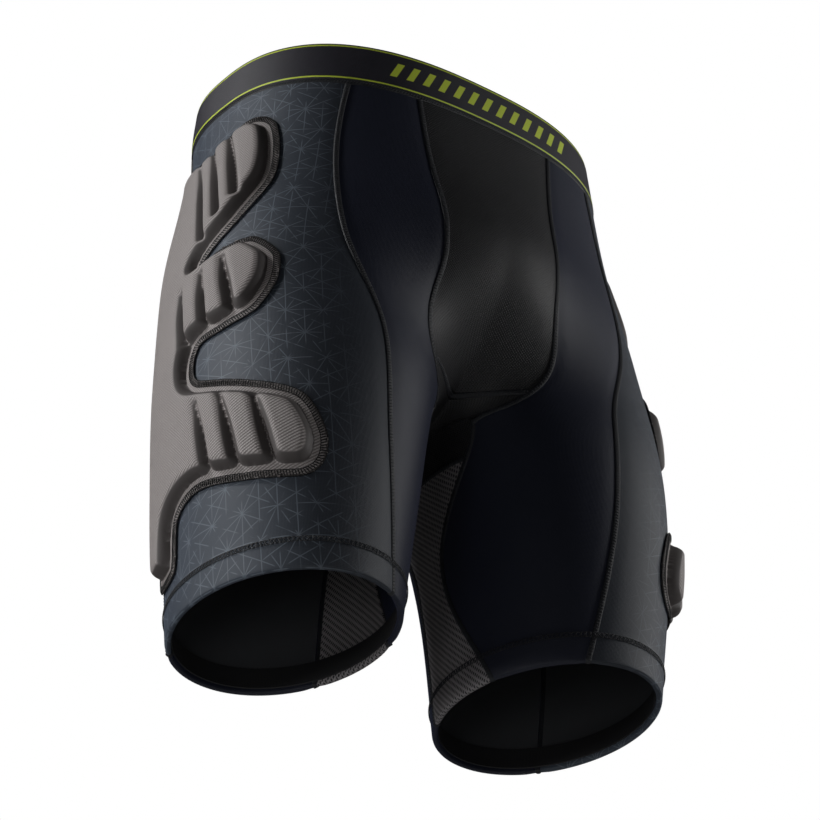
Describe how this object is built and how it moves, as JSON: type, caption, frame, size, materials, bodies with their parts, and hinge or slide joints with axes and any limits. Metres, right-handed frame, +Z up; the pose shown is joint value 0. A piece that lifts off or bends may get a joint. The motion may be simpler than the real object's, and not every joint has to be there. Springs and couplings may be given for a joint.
{
  "type": "padded impact shorts",
  "caption": "Close-fitting stretch shorts with an elastic waistband, mesh front and inner thigh panels, and a three-fingered foam pad sewn over each hip.",
  "frame": {"origin": "middle of the garment's box at the level of the leg hems, on the mirror plane between the legs", "axes": "+Z up the wearer, -Y toward the wearer's front, -X toward the wearer's right side"},
  "size_m": [0.385, 0.2619, 0.4917],
  "materials": {
    "thigh_lycra": "smooth stretch knit, near-black navy with a soft sheen",
    "side_lycra": "stretch knit with a thin tone-on-tone line print",
    "open_mesh": "black fine-hole mesh knit",
    "inner_mesh": "charcoal open mesh knit",
    "waist_elastic": "woven elastic with two thin lime stripes",
    "seam_thread": "matt sewing thread, flatlock stitch",
    "pad_twill": "taupe stretch twill",
    "pad_foam": "closed-cell foam",
    "hem_facing": "smooth stretch knit turned to the inside"
  },
  "bodies": {
    "root": {"waistband_elastic": "waist_elastic", "waist_seam": "seam_thread", "front_mesh_pouch": "open_mesh", "crotch_gusset": "open_mesh", "left_front_thigh_panel": "thigh_lycra", "right_front_thigh_panel": "thigh_lycra", "left_side_panel": "side_lycra", "right_side_panel": "side_lycra", "left_back_panel": "thigh_lycra", "right_back_panel": "thigh_lycra", "left_inner_thigh_mesh": "inner_mesh", "right_inner_thigh_mesh": "inner_mesh", "left_leg_hem_facing": "hem_facing", "right_leg_hem_facing": "hem_facing", "left_hem_cover_stitch": "seam_thread", "right_hem_cover_stitch": "seam_thread", "left_inner_thigh_seam": "seam_thread", "right_inner_thigh_seam": "seam_thread", "left_pouch_seam": "seam_thread", "right_pouch_seam": "seam_thread", "left_front_side_seam": "seam_thread", "right_front_side_seam": "seam_thread", "left_side_back_seam": "seam_thread", "right_side_back_seam": "seam_thread", "left_inner_back_seam": "seam_thread", "right_inner_back_seam": "seam_thread", "pouch_gusset_seam": "seam_thread", "left_gusset_leg_seam": "seam_thread", "right_gusset_leg_seam": "seam_thread", "centre_back_seam": "seam_thread", "left_hip_pad_cover": "pad_twill", "right_hip_pad_cover": "pad_twill", "left_hip_pad_foam": "pad_foam", "right_hip_pad_foam": "pad_foam", "left_pad_edge_stitch": "seam_thread", "right_pad_edge_stitch": "seam_thread"}
  },
  "joints": []
}
